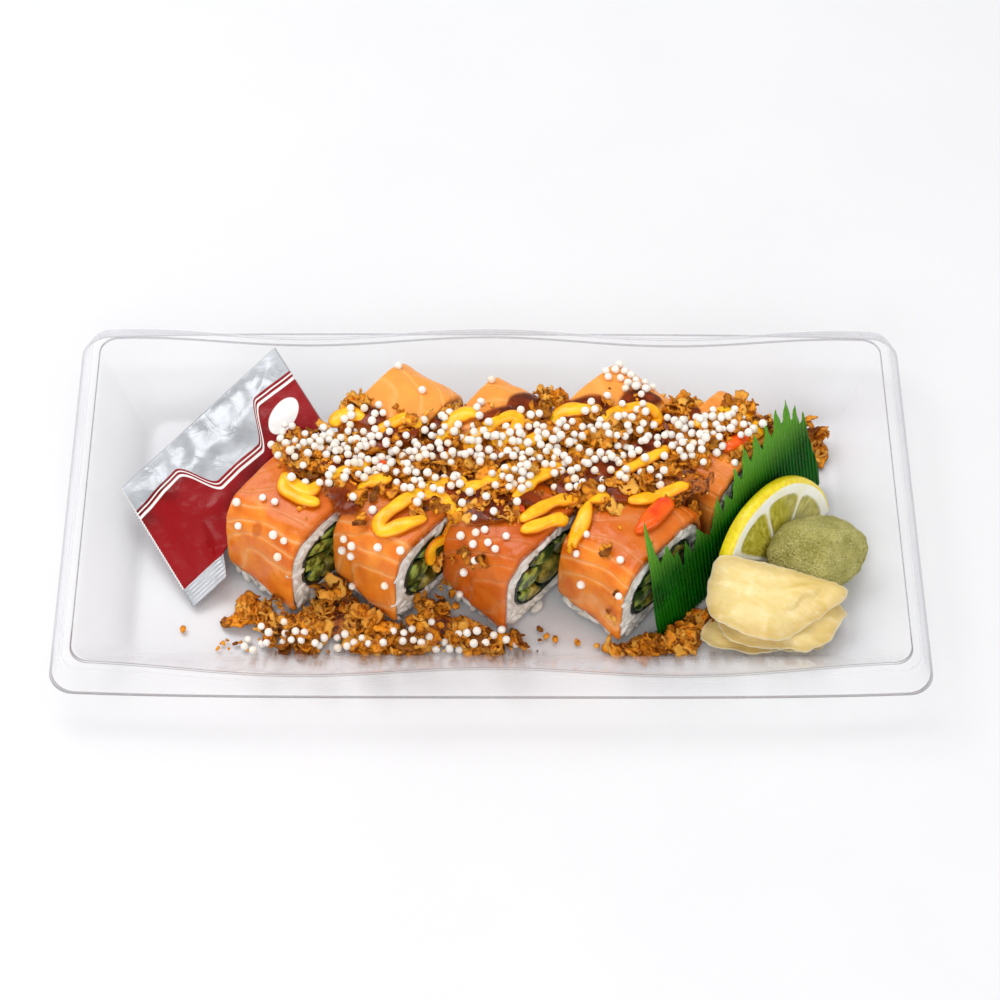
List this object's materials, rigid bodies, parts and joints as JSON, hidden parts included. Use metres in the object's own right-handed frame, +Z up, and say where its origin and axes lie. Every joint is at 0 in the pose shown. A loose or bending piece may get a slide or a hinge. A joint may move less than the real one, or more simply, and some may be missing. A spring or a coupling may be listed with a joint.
{
  "type": "takeaway sushi tray",
  "caption": "Shallow clear takeaway tray of salmon-topped sushi roll slices with sauces and crisp onions, a soy packet, a green leaf divider, lemon, wasabi and pickled ginger.",
  "frame": {"origin": "under the middle of the tray, on the surface that it stands on", "axes": "+X along the tray's long side, from the soy packet to the lemon; +Y from the tray's front to its back; +Z up"},
  "size_m": [0.2198, 0.1172, 0.045],
  "materials": {
    "clear_plastic": "clear, thin, thermoformed",
    "salmon": "raw salmon with pale fat lines",
    "rice": "cooked sticky rice",
    "nori": "dark seaweed sheet",
    "cucumber": "raw cucumber with dark skin",
    "avocado": "ripe avocado",
    "printed_film": null,
    "leaf_film": "thin green plastic film with pressed veins",
    "lemon": "lemon rind, pith and flesh",
    "wasabi": "dull green paste",
    "pickled_ginger": "thin wet translucent slices",
    "fried_onion": "crisp brown flakes"
  },
  "bodies": {
    "root": {"tray": "clear_plastic", "slice_front_1_salmon": "salmon", "slice_front_1_rice": "rice", "slice_front_1_nori": "nori", "slice_front_1_cucumber": "cucumber", "slice_front_1_avocado": "avocado", "slice_front_2_salmon": "salmon", "slice_front_2_rice": "rice", "slice_front_2_nori": "nori", "slice_front_2_cucumber": "cucumber", "slice_front_2_avocado": "avocado", "slice_front_3_salmon": "salmon", "slice_front_3_rice": "rice", "slice_front_3_nori": "nori", "slice_front_3_cucumber": "cucumber", "slice_front_3_avocado": "avocado", "slice_front_4_salmon": "salmon", "slice_front_4_rice": "rice", "slice_front_4_nori": "nori", "slice_front_4_cucumber": "cucumber", "slice_front_4_avocado": "avocado", "slice_back_1_salmon": "salmon", "slice_back_1_rice": "rice", "slice_back_1_nori": "nori", "slice_back_1_cucumber": "cucumber", "slice_back_1_avocado": "avocado", "slice_back_2_salmon": "salmon", "slice_back_2_rice": "rice", "slice_back_2_nori": "nori", "slice_back_2_cucumber": "cucumber", "slice_back_2_avocado": "avocado", "slice_back_3_salmon": "salmon", "slice_back_3_rice": "rice", "slice_back_3_nori": "nori", "slice_back_3_cucumber": "cucumber", "slice_back_3_avocado": "avocado", "slice_back_4_salmon": "salmon", "slice_back_4_rice": "rice", "slice_back_4_nori": "nori", "slice_back_4_cucumber": "cucumber", "slice_back_4_avocado": "avocado", "soy_packet": "printed_film", "leaf_divider": "leaf_film", "lemon_half_slice": "lemon", "wasabi": "wasabi", "ginger_top": "pickled_ginger", "ginger_middle": "pickled_ginger", "ginger_lower": "pickled_ginger", "fried_onions_top": "fried_onion", "fried_onions_front_left": "fried_onion", "fried_onions_front_right": "fried_onion", "fried_onions_back_right": "fried_onion"}
  },
  "joints": []
}
